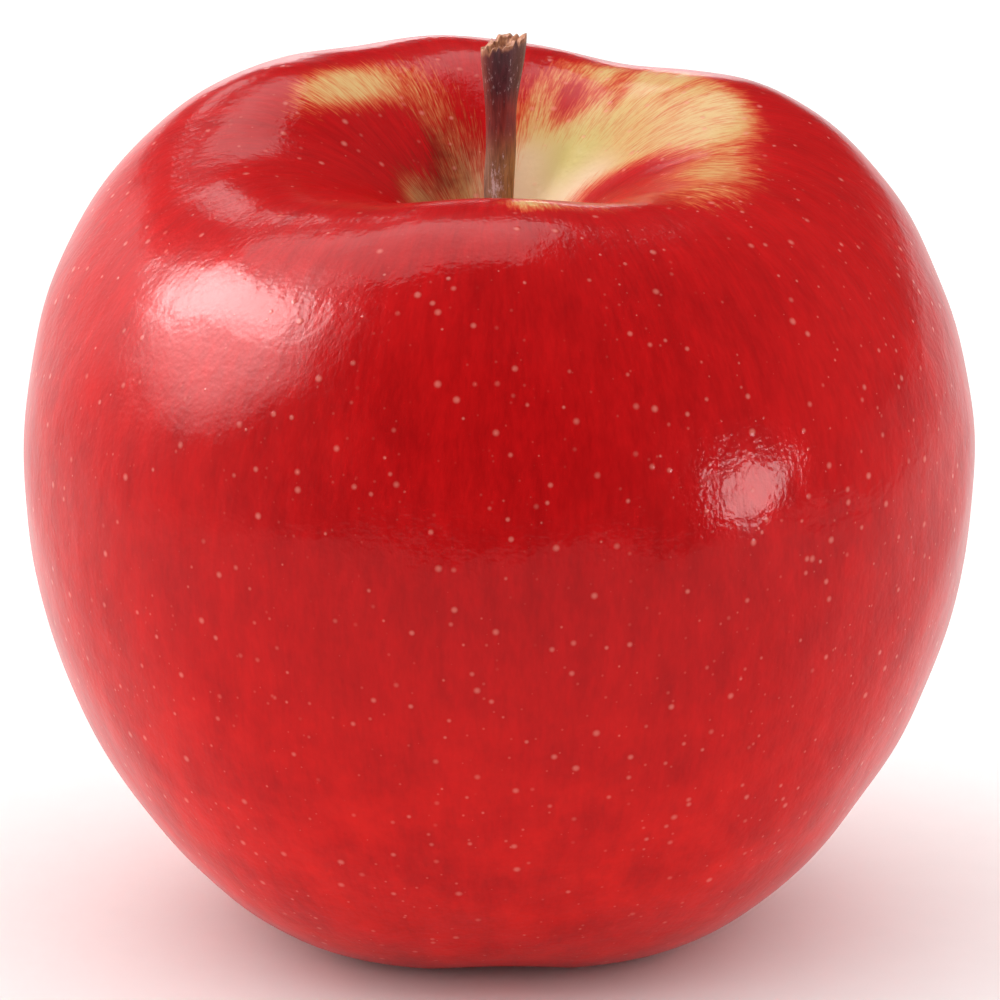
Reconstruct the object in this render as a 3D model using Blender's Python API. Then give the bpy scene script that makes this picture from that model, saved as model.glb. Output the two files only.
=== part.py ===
"""A fresh red apple, as picked, with its stalk and the dried parts of its flower.

Frame: metres, +Z up along the core line, origin on the surface that the fruit rests on, under
the middle of the fruit. The front of the fruit faces -Y.

The fruit grew as one piece, so it is one solid. Its side view is a chain of Bezier curves from
the calyx tube below, round the belly, to the socket of the stalk above. The profile is spun
about Z and then swelled into soft lobes. The stalk, the five sepals and the tuft of dried
stamens are pieces of their own, which seat in the fruit with a small gap.
"""

from dataclasses import dataclass
from math import atan2, cos, hypot, pi, radians, sin, sqrt, tan

import bmesh
import bpy
from mathutils import Matrix, Vector
from mathutils.geometry import interpolate_bezier

MM = 0.001

# Clearance between a piece and the socket or wall that it seats in.
GAP = 0.3 * MM

# Fruit: overall sizes of its side view.
BELLY_RADIUS = 40.0 * MM
BELLY_HEIGHT = 40.2 * MM
SHOULDER_RADIUS = 21.0 * MM
SHOULDER_HEIGHT = 68.5 * MM
BASE_RADIUS = 13.4 * MM

# Fruit: how full each curve is, as the share of its rise or run that it goes straight on for.
BELLY_FULLNESS = 0.709
SHOULDER_FULLNESS = 0.399
BASE_FULLNESS = 0.509
CAVITY_FULLNESS = 0.345
BASIN_FULLNESS = 0.38

# Fruit: width of the flat band that it rests on, and the arches between its feet.
CONTACT_WIDTH = 1.6 * MM
ARCH_HEIGHT = 0.4 * MM
ARCH_FADE = 8.0 * MM

# Stalk cavity on top, and calyx basin and tube below.
CAVITY_DEPTH = 14.5 * MM
CAVITY_LEAN = radians(19)
SOCKET_DEPTH = 4.0 * MM
BASIN_DEPTH = 8.0 * MM
BASIN_LEAN = radians(17)
TUBE_RADIUS = 1.9 * MM
TUBE_DEPTH = 3.0 * MM

# Stalk.
STALK_BASE_RADIUS = 1.05 * MM
STALK_NECK_RADIUS = 1.32 * MM
STALK_TIP_RADIUS = 1.9 * MM
STALK_LENGTH = 25.9 * MM
STALK_LEAN = 0.8 * MM
STALK_BREAK_SLOPE = radians(15)

# Dried sepals, which close over the calyx tube and turn out at their tips.
SEPAL_COUNT = 5
SEPAL_LENGTH = 5.6 * MM
SEPAL_THICKNESS = 0.5 * MM
SEPAL_TIP_WIDTH = 0.8 * MM
SEPAL_TIP_FLARE = 0.8 * MM
SEPAL_WAIST_SHARE = 0.55
SEPAL_ROOT_SETBACK = 1.35 * MM
SEPAL_WAIST_SETBACK = 0.35 * MM
SEPAL_SPACING = 0.6 * MM
SEPAL_WALL_CLEARANCE = 0.4 * MM

# Tuft of dried stamens and styles in the calyx tube.
TUFT_TIP_RADIUS = 0.7 * MM
TUFT_LENGTH = 6.0 * MM
TUFT_RIBS = 10
TUFT_RIB_DEPTH = 0.15 * MM

# Fineness of the solids.
FRUIT_SIDES = 60
FLANK_POINTS = 13
WALL_POINTS = 9
STALK_SIDES = 16
STALK_RINGS = 12
SEPAL_RINGS = 8
TUFT_RINGS = 5

# Sizes that follow from those above.
SOCKET_RADIUS = STALK_BASE_RADIUS + GAP
CAVITY_FLOOR_HEIGHT = SHOULDER_HEIGHT - CAVITY_DEPTH
BAND_INNER_RADIUS = BASE_RADIUS - CONTACT_WIDTH / 2
BAND_OUTER_RADIUS = BASE_RADIUS + CONTACT_WIDTH / 2
SEPAL_ROOT_RADIUS = TUBE_RADIUS + SEPAL_ROOT_SETBACK + SEPAL_THICKNESS / 2
SEPAL_WAIST_RADIUS = TUBE_RADIUS + SEPAL_WAIST_SETBACK + SEPAL_THICKNESS / 2


@dataclass(frozen=True)
class Wave:
    """A swelling that repeats count times round the fruit, highest at the azimuth."""

    count: int
    size: float
    azimuth: float

    def at(self, angle):
        return self.size * cos(self.count * (angle - self.azimuth))


# Swelling of the upper half, of the lower half and of the whole, as a share of the radius.
SHOULDER_LOBES = Wave(5, 0.011, radians(31))
BASE_LOBES = Wave(5, 0.026, radians(19))
OVALNESS = Wave(3, 0.003, radians(-8))

# Rise and fall of the shoulder round the stalk cavity.
SHOULDER_WAVES = (
    Wave(1, 1.86 * MM, radians(97)),
    Wave(2, 0.73 * MM, radians(-69)),
    Wave(3, 0.96 * MM, radians(24)),
    Wave(5, 0.22 * MM, radians(22)),
    Wave(6, 0.3 * MM, radians(-28)),
)


def smooth_step(value, low, high):
    """Runs smoothly from 0 at low to 1 at high."""
    share = min(max((value - low) / (high - low), 0.0), 1.0)
    return share * share * (3.0 - 2.0 * share)


def curve(start, start_handle, end_handle, end, count):
    """Points (radius, height) along a Bezier curve."""
    ends = [Vector((x, z, 0)) for x, z in (start, start_handle, end_handle, end)]
    return [(p.x, p.y) for p in interpolate_bezier(*ends, count)]


def sepal_width(share):
    """Width of a sepal, from nearly the room between its neighbours down to its tip's width."""
    room = 2 * (sepal_radius(share) - SEPAL_THICKNESS) * tan(pi / SEPAL_COUNT)
    return (room - SEPAL_SPACING) * (1 - share) + SEPAL_TIP_WIDTH * share


def sepal_radius(share):
    """Distance of a sepal's middle from the core line, from its root to its waist to its tip."""
    inward = smooth_step(share, 0.0, SEPAL_WAIST_SHARE)
    flare = SEPAL_TIP_FLARE * smooth_step(share, SEPAL_WAIST_SHARE, 1.0)
    return SEPAL_ROOT_RADIUS + (SEPAL_WAIST_RADIUS - SEPAL_ROOT_RADIUS) * inward + flare


def basin_floor_radius():
    """The basin's floor holds the corners of the sepals' roots."""
    corner = hypot(sepal_radius(0) + SEPAL_THICKNESS / 2, sepal_width(0) / 2)
    return corner + SEPAL_WALL_CLEARANCE


def upper_flank_profile():
    """From the belly to the shoulder's crest."""
    belly_reach = BELLY_FULLNESS * (SHOULDER_HEIGHT - BELLY_HEIGHT)
    shoulder_reach = SHOULDER_FULLNESS * (BELLY_RADIUS - SHOULDER_RADIUS)
    return curve(
        (BELLY_RADIUS, BELLY_HEIGHT),
        (BELLY_RADIUS, BELLY_HEIGHT + belly_reach),
        (SHOULDER_RADIUS + shoulder_reach, SHOULDER_HEIGHT),
        (SHOULDER_RADIUS, SHOULDER_HEIGHT),
        FLANK_POINTS,
    )


def lower_flank_profile():
    """From the resting band to the belly, where it bends as the upper flank does."""
    run = BELLY_RADIUS - BAND_OUTER_RADIUS
    upper_run = BELLY_RADIUS - SHOULDER_RADIUS
    bend = sqrt(run * (1 - BASE_FULLNESS) / (upper_run * (1 - SHOULDER_FULLNESS)))
    belly_reach = bend * BELLY_FULLNESS * (SHOULDER_HEIGHT - BELLY_HEIGHT)
    return curve(
        (BAND_OUTER_RADIUS, 0.0),
        (BAND_OUTER_RADIUS + BASE_FULLNESS * run, 0.0),
        (BELLY_RADIUS, BELLY_HEIGHT - belly_reach),
        (BELLY_RADIUS, BELLY_HEIGHT),
        FLANK_POINTS,
    )


def cavity_profile():
    """From the shoulder's crest, where it bends as the upper flank does, to the socket."""
    rise = CAVITY_FULLNESS * CAVITY_DEPTH
    upper_rise = (SHOULDER_HEIGHT - BELLY_HEIGHT) * (1 - BELLY_FULLNESS)
    bend = sqrt((CAVITY_DEPTH - rise) / upper_rise)
    crest_reach = bend * SHOULDER_FULLNESS * (BELLY_RADIUS - SHOULDER_RADIUS)
    return curve(
        (SHOULDER_RADIUS, SHOULDER_HEIGHT),
        (SHOULDER_RADIUS - crest_reach, SHOULDER_HEIGHT),
        (SOCKET_RADIUS + rise * tan(CAVITY_LEAN), CAVITY_FLOOR_HEIGHT + rise),
        (SOCKET_RADIUS, CAVITY_FLOOR_HEIGHT),
        FLANK_POINTS,
    )


def basin_profile():
    """From the basin's floor down to the resting band."""
    floor = basin_floor_radius()
    drop = BASIN_FULLNESS * BASIN_DEPTH
    return curve(
        (floor, BASIN_DEPTH),
        (floor + drop * tan(BASIN_LEAN), BASIN_DEPTH - drop),
        (BAND_INNER_RADIUS - BASIN_FULLNESS * (BAND_INNER_RADIUS - floor), 0.0),
        (BAND_INNER_RADIUS, 0.0),
        WALL_POINTS,
    )


def fruit_profile():
    """The whole side view (radius, height), from the tube's end to the socket's end."""
    tube = [
        (0.0, BASIN_DEPTH + TUBE_DEPTH),
        (TUBE_RADIUS, BASIN_DEPTH + TUBE_DEPTH),
        (TUBE_RADIUS, BASIN_DEPTH),
    ]
    flanks = lower_flank_profile() + upper_flank_profile()[1:]
    socket = [
        (SOCKET_RADIUS, CAVITY_FLOOR_HEIGHT - SOCKET_DEPTH),
        (0.0, CAVITY_FLOOR_HEIGHT - SOCKET_DEPTH),
    ]
    return tube + basin_profile() + flanks + cavity_profile()[1:] + socket


def lobed(point):
    """Where a point of the round fruit goes once its lobes have swelled.

    The swelling fades out towards the core line, so the socket and the tube stay round.
    """
    radius = hypot(point.x, point.y)
    angle = atan2(point.y, point.x)
    top = smooth_step(point.z, BELLY_HEIGHT, SHOULDER_HEIGHT)
    top *= smooth_step(radius, SOCKET_RADIUS, SHOULDER_RADIUS)
    bottom = smooth_step(BELLY_HEIGHT - point.z, 0.0, BELLY_HEIGHT)
    bottom *= smooth_step(radius, basin_floor_radius(), BAND_INNER_RADIUS)
    swell = SHOULDER_LOBES.at(angle) * top + BASE_LOBES.at(angle) * bottom
    swell += OVALNESS.at(angle) * smooth_step(radius, 0.0, SHOULDER_RADIUS)
    rise = top * sum(wave.at(angle) for wave in SHOULDER_WAVES)
    between_feet = max(0.0, -BASE_LOBES.at(angle) / BASE_LOBES.size)
    near_base = max(0.0, 1.0 - point.z / ARCH_FADE) ** 2 * bottom
    rise += ARCH_HEIGHT * between_feet * near_base
    return Vector((point.x * (1 + swell), point.y * (1 + swell), point.z + rise))


def material(name, colour, roughness):
    """A plain Principled material; colour is linear RGB."""
    made = bpy.data.materials.new(name)
    made.use_nodes = True
    shader = made.node_tree.nodes["Principled BSDF"]
    shader.inputs["Base Color"].default_value = (*colour, 1.0)
    shader.inputs["Roughness"].default_value = roughness
    shader.inputs["Metallic"].default_value = 0.0
    return made


def add_object(name, mesh_data, finish):
    """Puts a bmesh into the scene as an object with its faces turned outwards."""
    bmesh.ops.remove_doubles(mesh_data, verts=mesh_data.verts, dist=0.001 * MM)
    bmesh.ops.recalc_face_normals(mesh_data, faces=mesh_data.faces)
    mesh = bpy.data.meshes.new(name)
    mesh_data.to_mesh(mesh)
    mesh_data.free()
    mesh.shade_smooth()
    mesh.set_sharp_from_angle(angle=radians(40))
    mesh.materials.append(finish)
    made = bpy.data.objects.new(name, mesh)
    bpy.context.collection.objects.link(made)
    return made


def loft(rings):
    """A closed body through rings of points, which all have the same number of points."""
    body = bmesh.new()
    loops = [[body.verts.new(p) for p in ring] for ring in rings]
    sides = len(loops[0])
    for below, above in zip(loops, loops[1:]):
        for i in range(sides):
            j = (i + 1) % sides
            body.faces.new((below[i], below[j], above[j], above[i]))
    body.faces.new(loops[0][::-1])
    body.faces.new(loops[-1])
    return body


def build_fruit():
    """Skin and flesh as one solid: the profile spun about Z, then swelled into lobes."""
    body = bmesh.new()
    profile = [body.verts.new((r, 0.0, z)) for r, z in fruit_profile()]
    edges = [body.edges.new(pair) for pair in zip(profile, profile[1:])]
    bmesh.ops.spin(
        body,
        geom=profile + edges,
        axis=(0, 0, 1),
        cent=(0, 0, 0),
        angle=2 * pi,
        steps=FRUIT_SIDES,
        use_merge=True,
    )
    for vertex in body.verts:
        vertex.co = lobed(vertex.co)
    return add_object("fruit", body, material("apple_skin", (0.42, 0.006, 0.008), 0.3))


def stalk_radius(share):
    """The stalk widens slowly to its neck and then flares to its broken tip."""
    neck = STALK_BASE_RADIUS + (STALK_NECK_RADIUS - STALK_BASE_RADIUS) * share
    flare = (STALK_TIP_RADIUS - STALK_NECK_RADIUS) * smooth_step(share, 0.76, 1.0)
    return neck + flare


def build_stalk():
    """The woody stalk, from the socket's floor to its slanted broken tip."""
    foot = CAVITY_FLOOR_HEIGHT - SOCKET_DEPTH + GAP
    rings = []
    for k in range(STALK_RINGS + 1):
        share = k / STALK_RINGS
        lean = STALK_LEAN * smooth_step(share, SOCKET_DEPTH / STALK_LENGTH, 1.6)
        slope = tan(STALK_BREAK_SLOPE) * smooth_step(share, 0.5, 1.0)
        radius = STALK_BASE_RADIUS
        if STALK_LENGTH * share > SOCKET_DEPTH:
            radius = stalk_radius(share)
        ring = []
        for i in range(STALK_SIDES):
            angle = 2 * pi * i / STALK_SIDES
            x = radius * cos(angle)
            height = foot + STALK_LENGTH * share + slope * x
            ring.append((x + lean, radius * sin(angle), height))
        rings.append(ring)
    return add_object("stem", loft(rings), material("stalk_wood", (0.09, 0.03, 0.018), 0.6))


def sepal_section(radius, height, width):
    """The corners of a thin section across a sepal, facing outwards along +X."""
    inner = radius - SEPAL_THICKNESS / 2
    outer = radius + SEPAL_THICKNESS / 2
    half = width / 2
    bevel = SEPAL_THICKNESS / 4
    return [
        Vector((inner, -half + bevel, height)),
        Vector((radius, -half, height)),
        Vector((outer, -half + bevel, height)),
        Vector((outer, half - bevel, height)),
        Vector((radius, half, height)),
        Vector((inner, half - bevel, height)),
    ]


def build_sepal(index, finish):
    """One dried sepal: in from its root to a waist over the tube, then out again at its tip."""
    root_height = BASIN_DEPTH - GAP
    turn = Matrix.Rotation(2 * pi * index / SEPAL_COUNT, 3, "Z")
    rings = []
    for k in range(SEPAL_RINGS + 1):
        share = k / SEPAL_RINGS
        height = root_height - SEPAL_LENGTH * share
        section = sepal_section(sepal_radius(share), height, sepal_width(share))
        rings.append([turn @ corner for corner in section])
    return add_object(f"sepal_{index + 1}", loft(rings), finish)


def build_tuft(finish):
    """The dried stamens and styles as one ribbed bundle that stands out of the calyx tube."""
    top = BASIN_DEPTH + TUBE_DEPTH - GAP
    root_radius = TUBE_RADIUS - GAP
    points = 4 * TUFT_RIBS
    rings = []
    for k in range(TUFT_RINGS + 1):
        share = k / TUFT_RINGS
        radius = root_radius + (TUFT_TIP_RADIUS - root_radius) * share
        ring = []
        for i in range(points):
            angle = 2 * pi * i / points
            rib = radius - TUFT_RIB_DEPTH * (1 - cos(TUFT_RIBS * angle)) / 2
            ring.append((rib * cos(angle), rib * sin(angle), top - TUFT_LENGTH * share))
        rings.append(ring)
    return add_object("flower_tuft", loft(rings), finish)


def main():
    for old in list(bpy.data.objects):
        bpy.data.objects.remove(old, do_unlink=True)
    build_fruit()
    build_stalk()
    dried_sepal = material("dried_sepal", (0.12, 0.06, 0.03), 0.85)
    for index in range(SEPAL_COUNT):
        build_sepal(index, dried_sepal)
    build_tuft(material("dried_stamens", (0.07, 0.035, 0.02), 0.9))


main()
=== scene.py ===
"""Looks of a fresh red apple: waxed skin, woody stalk and the dried parts of its flower.

Frame: metres, +Z up along the core line, the origin on the floor under the fruit, and the
front of the fruit towards -Y. Azimuths are measured from +X, anticlockwise seen from above.
The arc of a point is its way along the side view from the crest of the shoulder: positive
down the flank, negative down into the stalk cavity.
"""

from __future__ import annotations

import logging
import math
from dataclasses import dataclass, field
from enum import Enum
from functools import partial
from typing import Any, Callable, Iterable, Sequence

import bpy
import numpy as np
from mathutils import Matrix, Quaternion, Vector


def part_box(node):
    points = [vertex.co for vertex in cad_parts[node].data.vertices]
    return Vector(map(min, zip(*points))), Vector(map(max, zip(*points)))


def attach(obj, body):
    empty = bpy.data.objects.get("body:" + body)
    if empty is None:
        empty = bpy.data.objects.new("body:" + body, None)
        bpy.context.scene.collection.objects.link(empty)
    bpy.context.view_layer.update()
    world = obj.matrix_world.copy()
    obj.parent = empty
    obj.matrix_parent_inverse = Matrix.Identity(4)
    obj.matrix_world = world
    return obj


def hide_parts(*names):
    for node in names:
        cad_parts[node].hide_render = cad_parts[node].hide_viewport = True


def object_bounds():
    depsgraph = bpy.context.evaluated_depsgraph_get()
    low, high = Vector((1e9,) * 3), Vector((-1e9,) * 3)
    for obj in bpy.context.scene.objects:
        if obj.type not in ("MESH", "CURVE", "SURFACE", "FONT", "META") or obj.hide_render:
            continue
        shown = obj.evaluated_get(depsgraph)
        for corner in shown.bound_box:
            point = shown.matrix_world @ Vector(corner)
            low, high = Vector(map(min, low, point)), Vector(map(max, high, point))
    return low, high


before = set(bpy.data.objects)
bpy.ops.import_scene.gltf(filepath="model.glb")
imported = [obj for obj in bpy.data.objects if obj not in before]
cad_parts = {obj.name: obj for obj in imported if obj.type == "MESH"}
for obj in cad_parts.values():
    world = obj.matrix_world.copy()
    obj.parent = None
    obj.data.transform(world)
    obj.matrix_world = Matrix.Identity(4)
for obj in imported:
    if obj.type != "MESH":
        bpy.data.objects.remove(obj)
CAD_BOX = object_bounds()

log = logging.getLogger("apple")

MM = 0.001
BODY = "root"
TURN = 2 * math.pi

# Settings that recur, and the sockets of the Mix node when it mixes colours.
MIX_FACTOR, MIX_A, MIX_B = 0, 6, 7
BLEND = {"data_type": "RGBA", "output": 2}
TINT = {**BLEND, "blend_type": "MULTIPLY"}
LIGHTEN = {**BLEND, "blend_type": "ADD"}
SMOOTH = {"interpolation_type": "SMOOTHSTEP"}

Socket = bpy.types.NodeSocket
Adder = Callable[..., Socket]


class Slot(Enum):
    """Material slots of the part's record."""

    SKIN = "skin"
    STALK = "stalk"
    FLOWER = "dried_flower"


# --------------------------------------------------------------------------------------
# Small tools
# --------------------------------------------------------------------------------------


def linear(code: str) -> tuple[float, float, float, float]:
    """Turns an sRGB hex colour into linear RGBA.

    Args:
        code: six hex digits.

    Returns:
        Linear red, green, blue and an alpha of 1.
    """
    parts = [int(code[i : i + 2], 16) / 255 for i in (0, 2, 4)]
    bent = [c / 12.92 if c <= 0.04045 else ((c + 0.055) / 1.055) ** 2.4 for c in parts]
    return (*bent, 1.0)


def smooth_step(value: np.ndarray | float, low: float, high: float) -> np.ndarray:
    """Runs smoothly from 0 at low to 1 at high: 3t^2 - 2t^3.

    Args:
        value: where to read the step.
        low: value at which the step is 0.
        high: value at which the step is 1.

    Returns:
        The step at each value.
    """
    share = np.clip((np.asarray(value, float) - low) / (high - low), 0.0, 1.0)
    return share * share * (3.0 - 2.0 * share)


def bezier(ends: Sequence[tuple[float, float]], count: int) -> np.ndarray:
    """Cubic Bezier curve: (1-t)^3 a + 3(1-t)^2 t b + 3(1-t) t^2 c + t^3 d.

    Args:
        ends: start, its handle, the end's handle, end.
        count: number of points.

    Returns:
        The points as an array of count rows.
    """
    t = np.linspace(0.0, 1.0, count)[:, None]
    a, b, c, d = np.array(ends)
    return (1 - t) ** 3 * a + 3 * (1 - t) ** 2 * t * b + 3 * (1 - t) * t**2 * c + t**3 * d


def circle(sides: int) -> np.ndarray:
    """Angles of so many points evenly round a circle."""
    return np.arange(sides) * TURN / sides


def add_node(
    tree: bpy.types.NodeTree,
    kind: str,
    inputs: dict[str | int, Any] | None = None,
    output: str | int = 0,
    stops: Iterable[tuple[float, str | float]] = (),
    **settings: Any,
) -> Socket:
    """Adds a node with its settings and links.

    Args:
        tree: the node tree.
        kind: the node's type, without the word ShaderNode.
        inputs: for each input a value, a hex colour, or a socket to link from.
        output: which output to return.
        stops: positions of a colour ramp from low to high, with hex colours or levels of grey.
        settings: the node's own properties.

    Returns:
        The chosen output socket.
    """
    node = tree.nodes.new("ShaderNode" + kind)
    for name, value in settings.items():
        setattr(node, name, value)
    for key, value in (inputs or {}).items():
        if isinstance(value, Socket):
            tree.links.new(value, node.inputs[key])
        else:
            node.inputs[key].default_value = linear(value) if isinstance(value, str) else value
    for number, (position, shade) in enumerate(stops):
        elements = node.color_ramp.elements
        stop = elements[number] if number < 2 else elements.new(position)
        stop.position = position
        stop.color = linear(shade) if isinstance(shade, str) else (shade, shade, shade, 1.0)
    return node.outputs[output]


def new_material(name: str, gloss: dict[str, float]) -> tuple[bpy.types.Material, Adder]:
    """Starts a material on the Principled shader.

    Args:
        name: the material's name.
        gloss: values that are the same all over the surface.

    Returns:
        The material, and the way to add nodes to it.
    """
    made = bpy.data.materials.new(name)
    made.use_nodes = True
    for socket, value in gloss.items():
        made.node_tree.nodes["Principled BSDF"].inputs[socket].default_value = value
    return made, partial(add_node, made.node_tree)


def connect(made: bpy.types.Material, inputs: dict[str, Socket]) -> bpy.types.Material:
    """Links sockets to inputs of the material's shader.

    Args:
        made: the material.
        inputs: the socket for each input.

    Returns:
        The same material.
    """
    for name, socket in inputs.items():
        made.node_tree.links.new(socket, made.node_tree.nodes["Principled BSDF"].inputs[name])
    return made


@dataclass
class Skin:
    """Closed skins on grids of points, with a pole at both ends of each.

    Attributes:
        points: (skins, rings, sides, 3) places.
        marks: values at the same places for a material to read, (skins, rings, sides) or
            (skins, rings, sides, 3).
    """

    points: np.ndarray
    marks: dict[str, np.ndarray] = field(default_factory=dict)

    def with_poles(self, grid: np.ndarray) -> np.ndarray:
        """Flattens a grid and adds each skin's two poles, the means of its end rings.

        Args:
            grid: places or marks, laid out as the points are.

        Returns:
            One row for each point, with each skin's poles after its rings.
        """
        count, rings, sides = grid.shape[:3]
        flat = grid.reshape(count, rings * sides, -1)
        poles = grid[:, (0, -1)].mean(axis=2).reshape(count, 2, -1)
        return np.concatenate((flat, poles), axis=1).reshape(-1, flat.shape[-1])

    def faces(self) -> tuple[np.ndarray, np.ndarray]:
        """Joins neighbouring points into quads, and end rings to their poles.

        Returns:
            Corner numbers of the quads and of the triangles, all facing outwards.
        """
        count, rings, sides = self.points.shape[:3]
        size = rings * sides + 2
        here = np.arange((rings - 1) * sides).reshape(rings - 1, sides)
        beside = np.roll(here, -1, axis=1)
        quads = np.stack((here, beside, beside + sides, here + sides), -1).reshape(-1, 4)
        around = np.arange(sides)
        following = np.roll(around, -1)
        last = (rings - 1) * sides
        first_fan = np.stack((np.full(sides, size - 2), following, around), -1)
        last_fan = np.stack((np.full(sides, size - 1), around + last, following + last), -1)
        fans = np.concatenate((first_fan, last_fan))
        shift = (np.arange(count) * size)[:, None, None]
        quads = (quads[None] + shift).reshape(-1, 4)
        fans = (fans[None] + shift).reshape(-1, 3)
        halves = np.concatenate((quads[:, (0, 1, 2)], quads[:, (0, 2, 3)], fans))
        a, b, c = np.moveaxis(self.with_poles(self.points)[halves], 1, 0)
        if np.einsum("ij,ij->", a, np.cross(b, c)) < 0:
            quads, fans = quads[:, ::-1], fans[:, ::-1]
        return quads, fans


def add_piece(
    name: str,
    skins: Sequence[Skin],
    material: bpy.types.Material,
    nodes: Sequence[str] = (),
    slot: Slot | None = None,
) -> None:
    """Puts closed skins into the scene as one object at the origin.

    Args:
        name: the object's name.
        skins: the skins, which all have the same marks.
        material: the object's finish.
        nodes: CAD nodes that the object stands for.
        slot: any slot puts the object on the body and hides its CAD nodes; which slot it is, is not
            used; none for a part of the stage.
    """
    vertices, faces, start = [], [], 0
    for skin in skins:
        places = skin.with_poles(skin.points)
        quads, fans = skin.faces()
        faces += (quads + start).tolist() + (fans + start).tolist()
        vertices.append(places)
        start += len(places)
    mesh = bpy.data.meshes.new(name)
    mesh.from_pydata(np.concatenate(vertices).tolist(), [], faces)
    for mark in skins[0].marks:
        values = np.concatenate([skin.with_poles(skin.marks[mark]) for skin in skins])
        kind, part = ("FLOAT", "value") if values.shape[1] == 1 else ("FLOAT_VECTOR", "vector")
        layer = mesh.attributes.new(mark, kind, "POINT")
        layer.data.foreach_set(part, values.astype(np.float32).ravel())
    mesh.shade_smooth()
    mesh.materials.append(material)
    mesh.update()
    made = bpy.data.objects.new(name, mesh)
    bpy.context.collection.objects.link(made)
    if slot is None:
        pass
    else:
        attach(made, BODY)
        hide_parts(*nodes)
    log.info("%s: %d faces", name, len(faces))


# --------------------------------------------------------------------------------------
# Finishes
# --------------------------------------------------------------------------------------


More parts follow.
